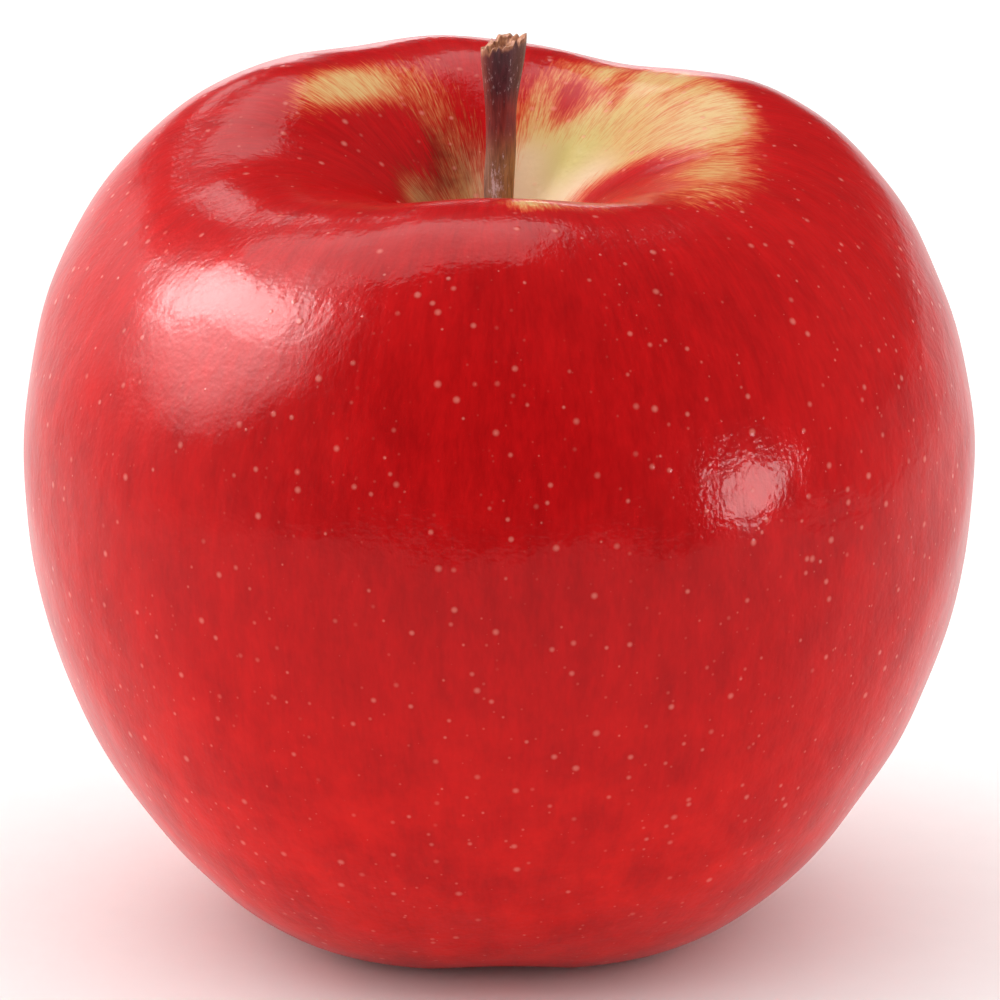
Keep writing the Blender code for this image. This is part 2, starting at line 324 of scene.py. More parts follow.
@dataclass(frozen=True)
class WaxedSkin:
    """Skin of a ripe bicoloured apple, polished by its own wax.

    The eye sees a deep clear red in dashed streaks that run from stalk to calyx, over a
    straw-yellow ground that shows where leaves kept the sun off. Pale breathing pores
    stand a little proud, and the wax gives a sharp gloss over a broader sheen.

    Attributes:
        layer: colours that the red gives a white ground, by its depth: thin it is pink.
        streaks: broad and fine ones: across them in shares of the radius, along them in
            metres, and how much they add to the depth of the red and to its brightness.
        pores: spacing of the pores and radius of the largest, then the same of the specks.
        relief: sizes of the wax's fine grain and of its swellings.
    """

    deep_red: str = "98060A"
    clear_red: str = "B60B0F"
    # Partly a real warmer red, partly painted light: it brightens the red low down, where the
    # floor's bounce falls, and on the left and right flanks.
    warm_lit_red: str = "DC1711"
    straw: str = "D2AC72"
    parchment: str = "E0BE9A"
    leaf_green: str = "C0AC68"
    # Brown of the ground in the cavity and round the calyx, also painted as shade on the left wall
    # of the stalk cavity.
    russet_and_shade_brown: str = "6E3420"
    pore: str = "E28577"
    layer: tuple[tuple[float, str], ...] = (
        (0.0, "FFFFFF"), (0.25, "FCD4CB"), (0.5, "F18179"), (0.72, "DF3C3F"), (0.9, "CE1D31"),
    )
    streaks: tuple[tuple[float, float, float, float], ...] = (
        (0.05, 7 * MM, 0.4, 0.7),
        (0.011, 1.5 * MM, 1.1, 0.5),
    )
    pores: tuple[tuple[float, float], ...] = ((1.6 * MM, 0.42 * MM), (1.1 * MM, 0.20 * MM))
    smallest_pore: float = 0.25
    pore_strength: float = 0.47
    russet_and_shade_mottle: float = 1.4 * MM
    cloud_size: float = 6 * MM
    relief: tuple[float, float] = (0.5 * MM, 2.6 * MM)
    relief_depth: float = 0.027 * MM
    full_depth: float = 0.95
    gloss: tuple[tuple[str, float], ...] = (
        ("Roughness", 0.36),
        ("IOR", 1.4),
        ("Specular IOR Level", 0.06),
        ("Coat Roughness", 0.11),
        ("Coat IOR", 1.3),
    )

    def build(self) -> bpy.types.Material:
        """Makes the material.

        Returns:
            The material, which reads the marks that Fruit leaves on its mesh.
        """
        made, node = new_material("waxed_apple_skin", dict(self.gloss))
        place = node("TexCoord", output="Object")
        along = node("Attribute", attribute_name="streak", output="Vector")
        names = ("blush", "warm", "green", "earth", "pale", "speckle", "wax")
        marks = {name: node("Attribute", attribute_name=name, output="Fac") for name in names}
        streaks = []
        for across, length, *_ in self.streaks:
            scale = (1 / across, 1 / across, 1 / length)
            vector = node("Mapping", {"Vector": along, "Scale": scale})
            grain = {"Vector": vector, "Scale": 1.0, "Detail": 3.0, "Roughness": 0.6}
            streaks.append(node("TexNoise", grain))
        spots = self.spots(node, place, marks["speckle"])
        dots = node("Math", {0: spots, 1: self.pore_strength}, operation="MULTIPLY")
        colour = self.colour(node, place, marks, streaks)
        colour = node("Mix", {MIX_FACTOR: dots, MIX_A: colour, MIX_B: self.pore}, **BLEND)
        bump = self.bump(node, place, streaks[1], spots)
        sockets = {"Base Color": colour, "Coat Weight": marks["wax"]}
        return connect(made, {**sockets, "Normal": bump, "Coat Normal": bump})

    def colour(
        self, node: Adder, place: Socket, marks: dict[str, Socket], streaks: list[Socket]
    ) -> Socket:
        """Colour of the ground, seen through more or less red.

        The red's depth is the blush, broken into dashes by the streaks, which lie about
        0.5. Where it is thin the ground shows through it as through a filter.

        Args:
            node: adds a node.
            place: object coordinates.
            marks: the marks of the skin.
            streaks: broad and fine streaks.

        Returns:
            The colour of the skin.
        """
        depth, grain = marks["blush"], 0.0
        for streak, (_, _, deeper, _) in zip(streaks, self.streaks):
            depth = node("Math", {0: streak, 1: deeper, 2: depth}, operation="MULTIPLY_ADD")
        for streak, (*_, brighter) in zip(reversed(streaks), reversed(self.streaks)):
            grain = node("Math", {0: streak, 1: brighter, 2: grain}, operation="MULTIPLY_ADD")
        bare = 0.5 * sum(deeper for _, _, deeper, _ in self.streaks)
        ends = {"From Min": bare, "From Max": bare + self.full_depth}
        depth = node("MapRange", {"Value": depth, **ends})
        # Painted shade in part: this mottled brown darkens the left wall of the stalk cavity, where
        # shade falls, besides the brown deeper in the cavity and round the calyx.
        scuff = {"Vector": place, "Scale": 1 / self.russet_and_shade_mottle, "Detail": 5.0}
        scuff = {"Value": node("TexNoise", scuff), "From Min": 0.35, "From Max": 0.65}
        scuff = {0: node("MapRange", {**scuff, "To Min": 0.65}), 1: marks["earth"]}
        scuff = node("Math", scuff, operation="MULTIPLY")
        ground = node(
            "Mix", {MIX_FACTOR: marks["pale"], MIX_A: self.straw, MIX_B: self.parchment}, **BLEND
        )
        for share, over in ((marks["green"], self.leaf_green), (scuff, self.russet_and_shade_brown)):
            ground = node("Mix", {MIX_FACTOR: share, MIX_A: ground, MIX_B: over}, **BLEND)
        layer = node("ValToRGB", {0: depth}, stops=self.layer)
        thin = node("Mix", {MIX_FACTOR: 1.0, MIX_A: ground, MIX_B: layer}, **TINT)
        red = node("ValToRGB", {0: grain}, stops=((0.42, self.deep_red), (0.78, self.clear_red)))
        # Painted light in part: a noisy cloud of brighter, warmer red, strongest low down and on the
        # side flanks, stands for the floor's bounce and the side light besides a real warmer red.
        cloud = {"Vector": place, "Scale": 1 / self.cloud_size, "Detail": 6.0, "Roughness": 0.65}
        cloud = {"Value": node("TexNoise", cloud), "From Min": 0.36, "From Max": 0.66}
        cloud = {0: node("MapRange", {**cloud, "To Min": 0.35}), 1: marks["warm"]}
        cloud = node("Math", cloud, operation="MULTIPLY")
        red = node("Mix", {MIX_FACTOR: cloud, MIX_A: red, MIX_B: self.warm_lit_red}, **BLEND)
        full = node("MapRange", {"Value": depth, "From Min": 0.6, "From Max": 1.0}, **SMOOTH)
        return node("Mix", {MIX_FACTOR: full, MIX_A: thin, MIX_B: red}, **BLEND)

    def spots(self, node: Adder, place: Socket, speckle: Socket) -> Socket:
        """Breathing pores: round spots about the feature points of two cell patterns.

        Args:
            node: adds a node.
            place: object coordinates.
            speckle: share of small specks.

        Returns:
            1 on a pore and 0 beside it.
        """
        spots = []
        for spacing, radius in self.pores:
            distance = node("TexVoronoi", {"Vector": place, "Scale": 1 / spacing})
            chance = node("SeparateColor", {0: distance.node.outputs["Color"]}, "Red")
            size = radius / spacing
            sizes = {"To Min": self.smallest_pore * size, "To Max": size}
            edge = node("MapRange", {"Value": chance, **sizes})
            near = node("Math", {0: distance, 1: edge}, operation="DIVIDE")
            near = {"Value": near, "From Min": 1.0, "From Max": 0.2}
            spots.append(node("MapRange", near, **SMOOTH))
        specks = node("Math", {0: spots[1], 1: speckle}, operation="MULTIPLY")
        return node("Math", {0: spots[0], 1: specks}, operation="MAXIMUM")

    def bump(self, node: Adder, place: Socket, fine: Socket, spots: Socket) -> Socket:
        """Fine unevenness of the wax, which breaks up the edges of a reflection.

        Args:
            node: adds a node.
            place: object coordinates.
            fine: fine streaks.
            spots: 1 on a pore.

        Returns:
            The bumped normal.
        """
        height, swell = (
            node("TexNoise", {"Vector": place, "Scale": 1 / size, "Detail": detail})
            for size, detail in zip(self.relief, (1.5, 1.0))
        )
        for rise, share in ((swell, 2.6), (fine, 0.45), (spots, 0.8)):
            height = node("Math", {0: rise, 1: share, 2: height}, operation="MULTIPLY_ADD")
        return node("Bump", {"Height": height, "Strength": 1.0, "Distance": self.relief_depth})


@dataclass(frozen=True)
class StalkBark:
    """Dried bark of an apple's stalk, torn across at its tip.

    The eye sees plum-brown, waxy bark with pale scuffs above, olive and maroon below, and
    pale tan fibres where the wood broke.

    Attributes:
        fibre: size of the fibres across and along, in metres, detail and roughness.
        scuff: the same of the pale scuffs.
    """

    plum: str = "451F24"
    rust: str = "7A2E22"
    brown: str = "5A3428"
    maroon: str = "74261F"
    tan: str = "8E6E5C"
    olive: str = "90703C"
    bloom: str = "D8D0D0"
    torn: str = "BA805A"
    rim: str = "7A3A28"
    fibre: tuple[float, float, float, float] = (0.25 * MM, 2 * MM, 4.0, 0.65)
    scuff: tuple[float, float, float, float] = (0.3 * MM, 0.7 * MM, 6.0, 0.7)
    bark_depth: float = 0.12 * MM

    def build(self) -> bpy.types.Material:
        """Makes the material.

        Returns:
            The material, which reads the marks that Stalk leaves on its mesh.
        """
        gloss = {"Roughness": 0.5, "IOR": 1.45, "Specular IOR Level": 0.5}
        made, node = new_material("stalk_bark", gloss)
        place = node("TexCoord", output="Object")
        height, torn, side, fuzz = (
            node("Attribute", attribute_name=name, output="Fac")
            for name in ("height", "torn", "side", "fuzz")
        )
        noises = []
        for across, length, detail, roughness in (self.fibre, self.scuff):
            scale = (1 / across, 1 / across, 1 / length)
            vector = node("Mapping", {"Vector": place, "Scale": scale})
            grain = {"Vector": vector, "Scale": 1.0, "Detail": detail, "Roughness": roughness}
            noises.append(node("TexNoise", grain))
        fibre, scuff = noises
        lower = node("Mix", {MIX_FACTOR: side, MIX_A: self.tan, MIX_B: self.olive}, **BLEND)
        shades = ((0.05, self.rust), (0.35, self.plum), (0.75, self.plum), (1.0, self.brown))
        top = node("ValToRGB", {0: side}, stops=shades)
        share = node("MapRange", {"Value": height, "From Min": 0.78, "From Max": 0.86})
        upper = node("Mix", {MIX_FACTOR: share, MIX_A: self.maroon, MIX_B: top}, **BLEND)
        share = {"Value": height, "From Min": 0.58, "From Max": 0.74}
        share = node("MapRange", share, **SMOOTH)
        colour = node("Mix", {MIX_FACTOR: share, MIX_A: lower, MIX_B: upper}, **BLEND)
        shade = {"Value": fibre, "From Min": 0.3, "From Max": 0.7, "To Min": 0.6, "To Max": 1.5}
        shade = node("MapRange", shade)
        colour = node("Mix", {MIX_FACTOR: 1.0, MIX_A: colour, MIX_B: shade}, **TINT)
        scuff = node("Math", {0: fuzz, 1: scuff}, operation="ADD")
        scuff = {"Value": scuff, "From Min": 0.58, "From Max": 0.76, "To Max": 0.8}
        scuff = node("MapRange", scuff, **SMOOTH)
        colour = node("Mix", {MIX_FACTOR: scuff, MIX_A: colour, MIX_B: self.bloom}, **BLEND)
        wood = node("ValToRGB", {0: fibre}, stops=((0.3, self.rim), (0.62, self.torn)))
        colour = node("Mix", {MIX_FACTOR: torn, MIX_A: colour, MIX_B: wood}, **BLEND)
        bump = node("Bump", {"Height": fibre, "Strength": 1.0, "Distance": self.bark_depth})
        return connect(made, {"Base Color": colour, "Normal": bump})


@dataclass(frozen=True)
class DriedFlower:
    """Dried flower parts: papery, brown and matt, with lighter edges and fine veins."""

    name: str
    dark: str
    pale: str
    vein: float
    vein_depth: float = 0.08 * MM

    def build(self) -> bpy.types.Material:
        """Makes the material.

        Returns:
            The material, which reads the share along each part that its maker marks.
        """
        made, node = new_material(self.name, {"Roughness": 0.8, "Specular IOR Level": 0.25})
        place = node("TexCoord", output="Object")
        share = node("Attribute", attribute_name="share", output="Fac")
        veins = {"Vector": place, "Scale": 1 / self.vein, "Detail": 4.0, "Roughness": 0.6}
        veins = node("TexNoise", veins)
        mix = node("Math", {0: share, 1: 0.35, 2: veins}, operation="MULTIPLY_ADD")
        colour = node("ValToRGB", {0: mix}, stops=((0.42, self.dark), (0.85, self.pale)))
        bump = node("Bump", {"Height": veins, "Strength": 1.0, "Distance": self.vein_depth})
        return connect(made, {"Base Color": colour, "Normal": bump})


@dataclass(frozen=True)
class MattBoard:
    """White lacquered board, matt, with a barely seen grain."""

    white: str = "F8F8F7"
    grain_size: float = 4 * MM

    def build(self) -> bpy.types.Material:
        """Makes the material.

        Returns:
            The material.
        """
        gloss = {"Roughness": 0.7, "Specular IOR Level": 0.2}
        made, node = new_material("matt_white_board", gloss)
        place = node("TexCoord", output="Object")
        grain = node("TexNoise", {"Vector": place, "Scale": 1 / self.grain_size, "Detail": 4.0})
        grain = node("MapRange", {"Value": grain, "To Min": 0.97, "To Max": 1.0})
        colour = node("Mix", {MIX_FACTOR: 1.0, MIX_A: self.white, MIX_B: grain}, **TINT)
        return connect(made, {"Base Color": colour})


# --------------------------------------------------------------------------------------
# The fruit
# --------------------------------------------------------------------------------------


@dataclass(frozen=True)
class Wave:
    """A swelling that repeats round the fruit: size * cos(count * (angle - azimuth))."""

    count: int
    size: float
    azimuth: float

    def at(self, angle: np.ndarray) -> np.ndarray:
        """The swelling at each angle."""
        return self.size * np.cos(self.count * (angle - math.radians(self.azimuth)))


@dataclass(frozen=True)
class Fade:
    """A soft step along the side view, from nothing at start to its whole size at end."""

    start: float
    end: float
    size: float = 1.0

    def at(self, way: np.ndarray) -> np.ndarray:
        """The step at each place."""
        return self.size * smooth_step(way, self.start, self.end)


@dataclass(frozen=True)
class Patch:
    """A soft oval on the skin: strength * exp(-(turn/width)^2 - (way/length)^2).

    Attributes:
        azimuth: middle, in degrees.
        arc: middle, in millimetres along the side view.
        width: half width in degrees.
        length: half length in millimetres.
        strength: how much is added in the middle.
        slant: degrees that the middle line turns for each millimetre of arc.
    """

    azimuth: float
    arc: float
    width: float
    length: float
    strength: float
    slant: float = 0.0

    def at(self, angle: np.ndarray, arc: np.ndarray) -> np.ndarray:
        """Reads the patch.

        Args:
            angle: azimuths in radians.
            arc: arcs in metres.

        Returns:
            The patch's strength at each place.
        """
        way = arc / MM - self.arc
        middle = math.radians(self.azimuth) + np.radians(self.slant) * way
        turn = np.degrees(np.angle(np.exp(1j * (angle - middle))))
        return self.strength * np.exp(-((turn / self.width) ** 2) - (way / self.length) ** 2)


# Where the straw ground shows through the red.
BARE_PATCHES = (
    Patch(60, -13.5, 24, 4.5, 1.4),
    Patch(43, -11.5, 17, 5.0, 1.2),
    Patch(22, -10.5, 13, 3.6, 0.9),
    Patch(15, -5.5, 16, 4.8, 1.0),
    Patch(12, -1.3, 16, 3.2, 0.84),
    Patch(-17, -2.5, 13, 4.8, 0.85),
    Patch(-38, 0.2, 14, 4.8, 0.60),
    Patch(0, -10.8, 8, 3.0, -0.30),
    Patch(47, -5.0, 16, 4.6, 0.72),
    Patch(62, -1.4, 11, 3.0, 0.95),
    Patch(39, -1.5, 13, 2.6, 0.65),
    Patch(48, -6.8, 3, 5.5, -0.50, 1.2),
    Patch(66, -5.5, 5, 5.0, -0.45),
    Patch(57, -2.5, 3, 3.0, -0.40),
    Patch(33, -2.2, 2.5, 2.5, -0.35),
    Patch(24, -4.5, 2.5, 3.5, -0.30),
    Patch(74, -7.0, 11, 5.0, 0.60),
    Patch(-83, -0.4, 7, 2.0, 1.0),
    Patch(-68, 0.2, 9, 1.8, 0.45),
    Patch(140, -4.9, 18, 2.6, 1.25),
    Patch(158, -3.0, 12, 2.2, 0.40),
    Patch(115, -8.0, 14, 6.0, 0.50),
    Patch(108, -14.5, 30, 4.0, 0.48),
    Patch(160, -15.0, 18, 2.8, 0.50),
    Patch(205, -12.0, 18, 5.0, 0.35),
    Patch(238, -9.0, 14, 4.0, 0.45),
    Patch(300, -10.0, 20, 5.0, 0.65),
)
# Where the red is painted warmer and brighter: partly a real warmer red, partly painted light on the
# lower flanks at the left and right.
WARM_AND_LIT_PATCHES = (
    Patch(-20, 14, 45, 22, 0.12),
    Patch(200, 34, 38, 24, 0.35),
    Patch(-14, 36, 30, 24, 0.20),
)
# Where the ground is brown, partly painted shade on the left wall of the stalk cavity, and where it
# is green.
RUSSET_AND_SHADE_PATCHES = (Patch(150, -16, 52, 6.0, 0.60), Patch(116, -13, 20, 4.5, 0.55))
GREEN_PATCHES = (Patch(50, -11.8, 17, 4.2, 1.1),)
# Where small specks stand among the pores.
SPECKLED_PATCHES = (Patch(-38, 16, 22, 18, 0.9),)


def over(patches: Iterable[Patch], angle: np.ndarray, arc: np.ndarray) -> np.ndarray:
    """The sum of some patches at each azimuth and arc."""
    return sum(patch.at(angle, arc) for patch in patches)


@dataclass
class Fruit:
    """The fruit, from its stalk cavity round the belly to the calyx tube.

    The sizes are the CAD part's own. The shape is its side view spun about Z, swelled into
    the same soft lobes, with the shallow unevenness of a grown skin.

    Attributes:
        flank_arc: arc of the base ring, where the flank ends.
        ring_spacing: way between rings near the core line and on the belly.
        corner: how far the side view's corners are softened.
        unevenness: height of the dents, which repeat over dent_pitch along the arc.
        full_blush: depth of the red where nothing thins it.
        red_end_above: how the red goes down the cavity, by the way from its crest.
        red_end_below: the same into the basin, by the way from the flank's end.
        low_warmth_and_light: how the red grows warmer and brighter down from the belly, partly a
            real warmer red and partly painted light from the floor's bounce.
        cavity_earth: a little more brown ground deeper in the cavity.
        cavity_floor: where the ground turns pale, on the side that faces pale_azimuth.
        calyx: where the ground turns green and russeted, by the way from the flank's end.
        dry_cavity: how the wax goes down the cavity.
    """

    belly_radius: float = 40.0 * MM
    belly_height: float = 40.2 * MM
    shoulder_radius: float = 21.0 * MM
    shoulder_height: float = 68.5 * MM
    base_radius: float = 13.4 * MM
    belly_fullness: float = 0.709
    shoulder_fullness: float = 0.399
    base_fullness: float = 0.509
    cavity_fullness: float = 0.345
    basin_fullness: float = 0.38
    contact_width: float = 1.6 * MM
    arch_height: float = 0.4 * MM
    arch_fade: float = 8.0 * MM
    cavity_depth: float = 14.5 * MM
    cavity_lean: float = math.radians(19)
    basin_depth: float = 8.0 * MM
    basin_lean: float = math.radians(17)
    basin_floor_radius: float = 4.67 * MM
    tube_radius: float = 1.9 * MM
    tube_depth: float = 3.0 * MM
    socket_radius: float = 1.35 * MM
    shoulder_lobes: Wave = Wave(5, 0.011, 31)
    base_lobes: Wave = Wave(5, 0.026, 19)
    ovalness: Wave = Wave(3, 0.003, -8)
    shoulder_waves: tuple[Wave, ...] = (
        Wave(1, 1.86 * MM, 97),
        Wave(2, 0.73 * MM, -69),
        Wave(3, 0.96 * MM, 24),
        Wave(5, 0.22 * MM, 22),
        Wave(6, 0.30 * MM, -28),
    )
    flank_arc: float = 103 * MM
    sides: int = 336
    ring_spacing: tuple[float, float] = (0.27 * MM, 0.72 * MM)
    corner: float = 0.25 * MM
    unevenness: float = 0.05 * MM
    dent_count: int = 26
    dent_pitch: tuple[float, float] = (10 * MM, 34 * MM)
    full_blush: float = 1.12
    red_end_above: Fade = Fade(12 * MM, 21 * MM, 0.95)
    red_end_below: Fade = Fade(-2 * MM, 9 * MM, 0.9)
    low_warmth_and_light: Fade = Fade(-4 * MM, 30 * MM)
    cavity_earth: Fade = Fade(13 * MM, 24 * MM, 0.10)
    cavity_floor: Fade = Fade(10 * MM, 13.5 * MM)
    pale_azimuth: float = math.radians(60)
    calyx: Fade = Fade(2 * MM, 12 * MM)
    wax: float = 0.45
    dry_cavity: Fade = Fade(4 * MM, 11 * MM, 0.36)
    seed: int = 11

    def side_view(self) -> np.ndarray:
        """The side view (radius, height), from inside the stalk down to the tube's end.

        Returns:
            Points on straight lines and Bezier curves, with corners still sharp.
        """
        outer_band = self.base_radius + self.contact_width / 2
        inner_band = self.base_radius - self.contact_width / 2
        floor = self.shoulder_height - self.cavity_depth
        rise = self.cavity_fullness * self.cavity_depth
        upper_run = self.belly_radius - self.shoulder_radius
        upper_rise = self.shoulder_height - self.belly_height
        reach = self.shoulder_fullness * upper_run
        bend = math.sqrt((self.cavity_depth - rise) / (upper_rise * (1 - self.belly_fullness)))
        run = self.belly_radius - outer_band
        lower_bend = math.sqrt(
            run * (1 - self.base_fullness) / (upper_run * (1 - self.shoulder_fullness))
        )
        drop = self.basin_fullness * self.basin_depth
        cavity = [
            (self.socket_radius, floor),
            (self.socket_radius + rise * math.tan(self.cavity_lean), floor + rise),
            (self.shoulder_radius - bend * reach, self.shoulder_height),
            (self.shoulder_radius, self.shoulder_height),
        ]
        upper_flank = [
            (self.shoulder_radius, self.shoulder_height),
            (self.shoulder_radius + reach, self.shoulder_height),
            (self.belly_radius, self.belly_height + self.belly_fullness * upper_rise),
            (self.belly_radius, self.belly_height),
        ]
        lower_reach = lower_bend * self.belly_fullness * upper_rise
        lower_flank = [
            (self.belly_radius, self.belly_height),
            (self.belly_radius, self.belly_height - lower_reach),
            (outer_band + self.base_fullness * run, 0.0),
            (outer_band, 0.0),
        ]
        basin_run = inner_band - self.basin_floor_radius
        basin = [
            (inner_band, 0.0),
            (inner_band - self.basin_fullness * basin_run, 0.0),
            (
                self.basin_floor_radius + drop * math.tan(self.basin_lean),
                self.basin_depth - drop,
            ),
            (self.basin_floor_radius, self.basin_depth),
        ]
        collar = [(0.0, floor - 1.2 * MM), (0.8 * self.socket_radius, floor - 1.0 * MM)]
        tube_end = self.basin_depth + self.tube_depth
        tube = [(self.tube_radius, self.basin_depth), (self.tube_radius, tube_end), (0, tube_end)]
        curves = [bezier(ends, 400) for ends in (cavity, upper_flank, lower_flank, basin)]
        return np.concatenate((np.array(collar), *curves, np.array(tube)))

    def rings(self) -> tuple[np.ndarray, np.ndarray]:
        """Softens the side view's corners and spaces its points for the rings.

        The side view is averaged with a bell curve along its length, mirrored in the core
        line at its ends. Rings lie closest together in the cavity and round the calyx.

        Returns:
            Points (radius, height) and their arcs from the crest.
        """
        sharp = self.side_view()
        steps = np.hypot(*np.diff(sharp, axis=0).T)
        way = np.concatenate(((0.0,), np.cumsum(steps)))
        step = 0.05 * MM
        even = np.arange(0.0, way[-1], step)
        line = np.stack([np.interp(even, way, sharp[:, k]) for k in (0, 1)], axis=1)
        reach = int(4 * self.corner / step)
        bell = np.exp(-0.5 * (np.arange(-reach, reach + 1) * step / self.corner) ** 2)
        bell /= bell.sum()
        mirror = np.array((-1.0, 1.0))
        padded = np.concatenate(
            (mirror * line[reach:0:-1], line, mirror * line[-2 : -reach - 2 : -1])
        )
        line = np.stack([np.convolve(padded[:, k], bell, "valid") for k in (0, 1)], axis=1)
        steps = np.hypot(*np.diff(line, axis=0).T)
        way = np.concatenate(((0.0,), np.cumsum(steps)))
        crest = way[np.argmax(line[:, 1])]
        least, most = self.ring_spacing
        spacing = least + (most - least) * smooth_step(line[:, 0], 4 * MM, 30 * MM)
        dense = np.concatenate(((0.0,), np.cumsum(np.diff(way) / spacing[1:])))
        count = int(dense[-1])
        marks = np.interp(np.linspace(0.3, dense[-1] - 0.3, count), dense, way)
        points = np.stack([np.interp(marks, way, line[:, k]) for k in (0, 1)], axis=1)
        return points, marks - crest

    def lobed(self, points: np.ndarray) -> np.ndarray:
        """Swells points of the round fruit into its lobes, which fade towards the core.

        Args:
            points: places on the spun side view.

        Returns:
            The places once x and y have swelled and z has risen.
        """
        x, y, z = np.moveaxis(points, -1, 0)
        radius, angle = np.hypot(x, y), np.arctan2(y, x)
        top = smooth_step(z, self.belly_height, self.shoulder_height)
        top = top * smooth_step(radius, self.socket_radius, self.shoulder_radius)
        bottom = smooth_step(self.belly_height - z, 0.0, self.belly_height)
        inner_band = self.base_radius - self.contact_width / 2
        bottom = bottom * smooth_step(radius, self.basin_floor_radius, inner_band)
        swell = self.shoulder_lobes.at(angle) * top + self.base_lobes.at(angle) * bottom
        swell = swell + self.ovalness.at(angle) * smooth_step(radius, 0, self.shoulder_radius)
        rise = top * sum(wave.at(angle) for wave in self.shoulder_waves)
        between_feet = np.maximum(0.0, -self.base_lobes.at(angle) / self.base_lobes.size)
        near_base = np.maximum(0.0, 1.0 - z / self.arch_fade) ** 2 * bottom
        rise = rise + self.arch_height * between_feet * near_base
        return np.stack((x * (1 + swell), y * (1 + swell), z + rise), axis=-1)

    def dents(self, angle: np.ndarray, arc: np.ndarray) -> np.ndarray:
        """Shallow unevenness: a sum of plane waves over turn and arc, seeded.

        Args:
            angle: azimuths.
            arc: arcs in metres.

        Returns:
            How far the skin stands out at each place.
        """
        draw = np.random.default_rng(self.seed)
        total = np.zeros_like(angle)
        for _ in range(self.dent_count):
            turns = draw.integers(2, 15)
            pitch = draw.choice((-1.0, 1.0)) * TURN / draw.uniform(*self.dent_pitch)
            phase = draw.uniform(0.0, TURN)
            total += np.cos(turns * angle + pitch * arc + phase)
        return self.unevenness * total / math.sqrt(self.dent_count / 2)

    def surface(self) -> Skin:
        """Spins the side view and marks the skin for its finish.

        Returns:
            The closed skin, inside the CAD node's own box.
        """
        profile, arcs = self.rings()
        arc, angle = np.meshgrid(arcs, circle(self.sides), indexing="ij")
        slope = np.gradient(profile, axis=0)
        slope /= np.hypot(*slope.T)[:, None]
        fade = smooth_step(profile[:, 0], 4 * MM, 12 * MM)
        fade = fade * np.where(arcs > 0, smooth_step(profile[:, 1], 1 * MM, 8 * MM), 1.0)
        lift = self.dents(angle, arc) * fade[:, None]
        radius = profile[:, :1] - slope[:, 1:] * lift
        height = profile[:, 1:] + slope[:, :1] * lift
        round_points = np.stack((radius * np.cos(angle), radius * np.sin(angle), height), -1)
        points = self.lobed(round_points)
        low, high = (np.array(corner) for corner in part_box("fruit"))
        own_low, own_high = points.min(axis=(0, 1)), points.max(axis=(0, 1))
        points = low + (points - own_low) * (high - low) / (own_high - own_low)
        marks = self.marks(angle, arc, profile)
        return Skin(points[None], {name: mark[None] for name, mark in marks.items()})

    def marks(
        self, angle: np.ndarray, arc: np.ndarray, profile: np.ndarray
    ) -> dict[str, np.ndarray]:
        """Large patterns of the skin, for its finish to read.

        Args:
            angle: azimuths.
            arc: arcs in metres.
            profile: radius and height of each ring.

        Returns:
            The marks by name.
        """
        height = profile[:, 1:] + 0 * angle
        past_flank = arc - arc[np.argmin(np.abs(arc[:, 0] - self.flank_arc)), 0]
        blush = self.full_blush - over(BARE_PATCHES, angle, arc)
        blush = blush - self.red_end_above.at(-arc) - self.red_end_below.at(past_flank)
        least_blush = 0.10 - 0.3 * smooth_step(-arc, 9 * MM, 13 * MM)
        low = self.low_warmth_and_light.at(self.belly_height - height)
        # Painted light in part: the red grows warmer and brighter downwards and on the side flanks,
        # for the floor's bounce and the side light as well as a real warmer red.
        warm = 0.10 + 0.75 * low + over(WARM_AND_LIT_PATCHES, angle, arc)
        calyx = self.calyx.at(past_flank)
        green = over(GREEN_PATCHES, angle, arc) + 0.6 * calyx
        # Brown deeper in the cavity and round the calyx, and painted shade on the left wall of the
        # stalk cavity.
        earth = self.cavity_earth.at(-arc) + over(RUSSET_AND_SHADE_PATCHES, angle, arc) + 0.5 * calyx
        facing = smooth_step(np.cos(angle - self.pale_azimuth), 0.55, 0.85)
        speckle = 0.25 + 0.6 * low + over(SPECKLED_PATCHES, angle, arc)
        return {
            "streak": np.stack((np.cos(angle), np.sin(angle), arc), -1),
            "blush": np.clip(blush, least_blush, 1.2),
            "warm": np.clip(warm, 0.0, 1.0),
            "green": np.clip(green, 0.0, 1.0),
            "earth": np.clip(earth, 0.0, 1.0),
            "pale": self.cavity_floor.at(-arc) * facing,
            "speckle": np.clip(speckle, 0.0, 1.0),
            "wax": self.wax - self.dry_cavity.at(-arc),
        }

    def build(self) -> None:
        """Makes the fruit's one piece."""
        add_piece("apple_skin", [self.surface()], WaxedSkin().build(), ["fruit"], Slot.SKIN)


# --------------------------------------------------------------------------------------
# The stalk
# --------------------------------------------------------------------------------------


